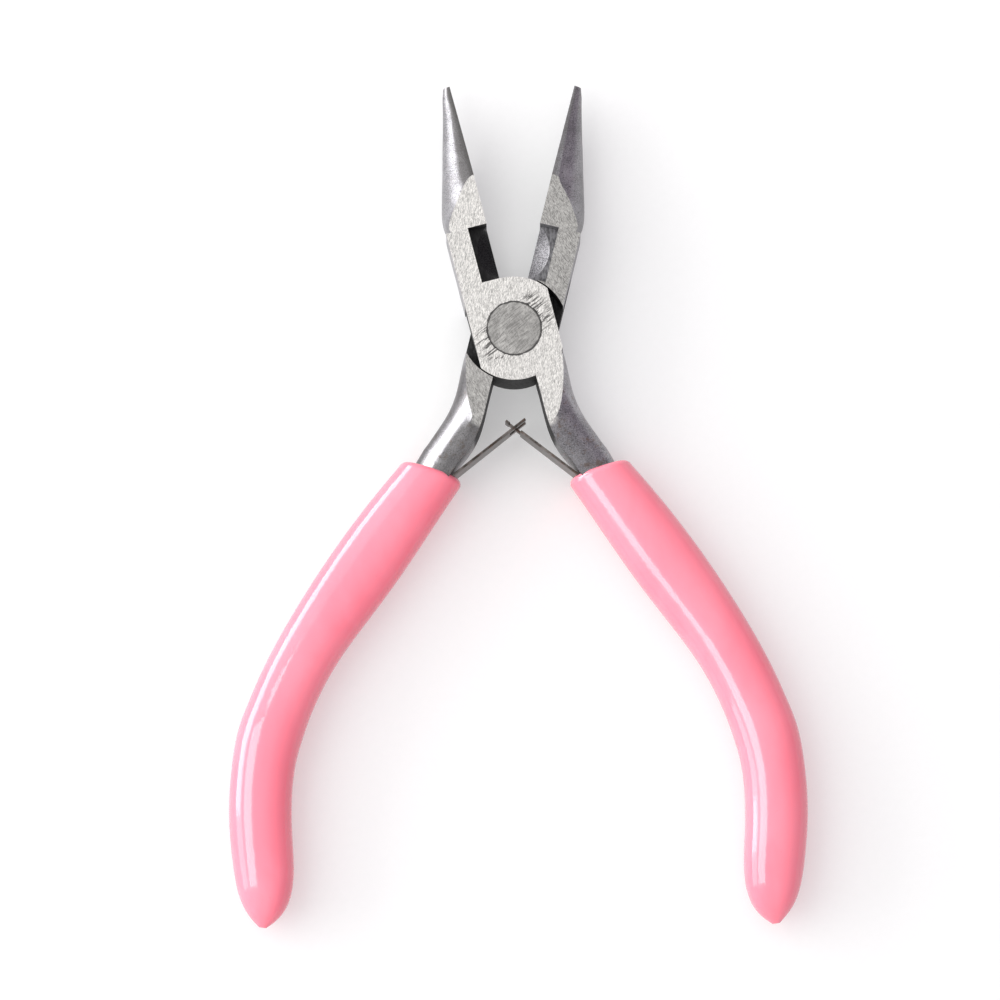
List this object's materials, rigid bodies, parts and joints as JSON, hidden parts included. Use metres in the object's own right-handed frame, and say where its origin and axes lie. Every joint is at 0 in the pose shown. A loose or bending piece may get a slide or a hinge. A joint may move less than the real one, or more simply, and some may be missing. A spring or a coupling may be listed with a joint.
{
  "type": "needle nose pliers with side cutters",
  "caption": "Small half-round needle nose pliers with side cutters, lap joint, double leaf springs and pink dipped grips, lying flat and open.",
  "frame": {"origin": "on the pivot axis, in the face that the tool rests on", "axes": "+Z along the pivot axis out of the face that shows the front half, +Y towards the jaw tips along the line midway between the jaws"},
  "size_m": [0.0818, 0.1205, 0.0085],
  "materials": {
    "forged_steel": "satin forging with surface-ground flats",
    "rivet_steel": "finely ground",
    "dipped_pvc": "glossy dipped plastic, coral pink",
    "spring_steel": "rolled spring strip"
  },
  "bodies": {
    "rear_half": {"rear_half": "forged_steel", "pivot_rivet": "rivet_steel", "left_grip": "dipped_pvc", "left_spring_root": "spring_steel", "left_spring_rivet": "rivet_steel"},
    "front_half": {"front_half": "forged_steel", "right_grip": "dipped_pvc", "right_spring_root": "spring_steel", "right_spring_rivet": "rivet_steel"},
    "left_spring": {"left_spring_leaf": "spring_steel"},
    "right_spring": {"right_spring_leaf": "spring_steel"}
  },
  "joints": [
    {"name": "jaw_pivot", "type": "hinge", "parent": "rear_half", "child": "front_half", "pos_m": [0, 0, 0.00425], "axis": [0, 0, 1], "range_deg": [-28, 8], "stiffness_Nm_per_rad": 0.35},
    {"name": "left_spring_flex", "type": "hinge", "parent": "rear_half", "child": "left_spring", "pos_m": [-0.00782, -0.02, 0.00425], "axis": [0, 0, 1], "range_deg": [-6.5, 22]},
    {"name": "right_spring_flex", "type": "hinge", "parent": "front_half", "child": "right_spring", "pos_m": [0.00782, -0.02, 0.00425], "axis": [0, 0, 1], "range_deg": [-22, 6.5]}
  ],
  "couplings": [
    {"joint": "left_spring_flex", "follows": "jaw_pivot", "ratio": -0.78},
    {"joint": "right_spring_flex", "follows": "jaw_pivot", "ratio": 0.78}
  ]
}
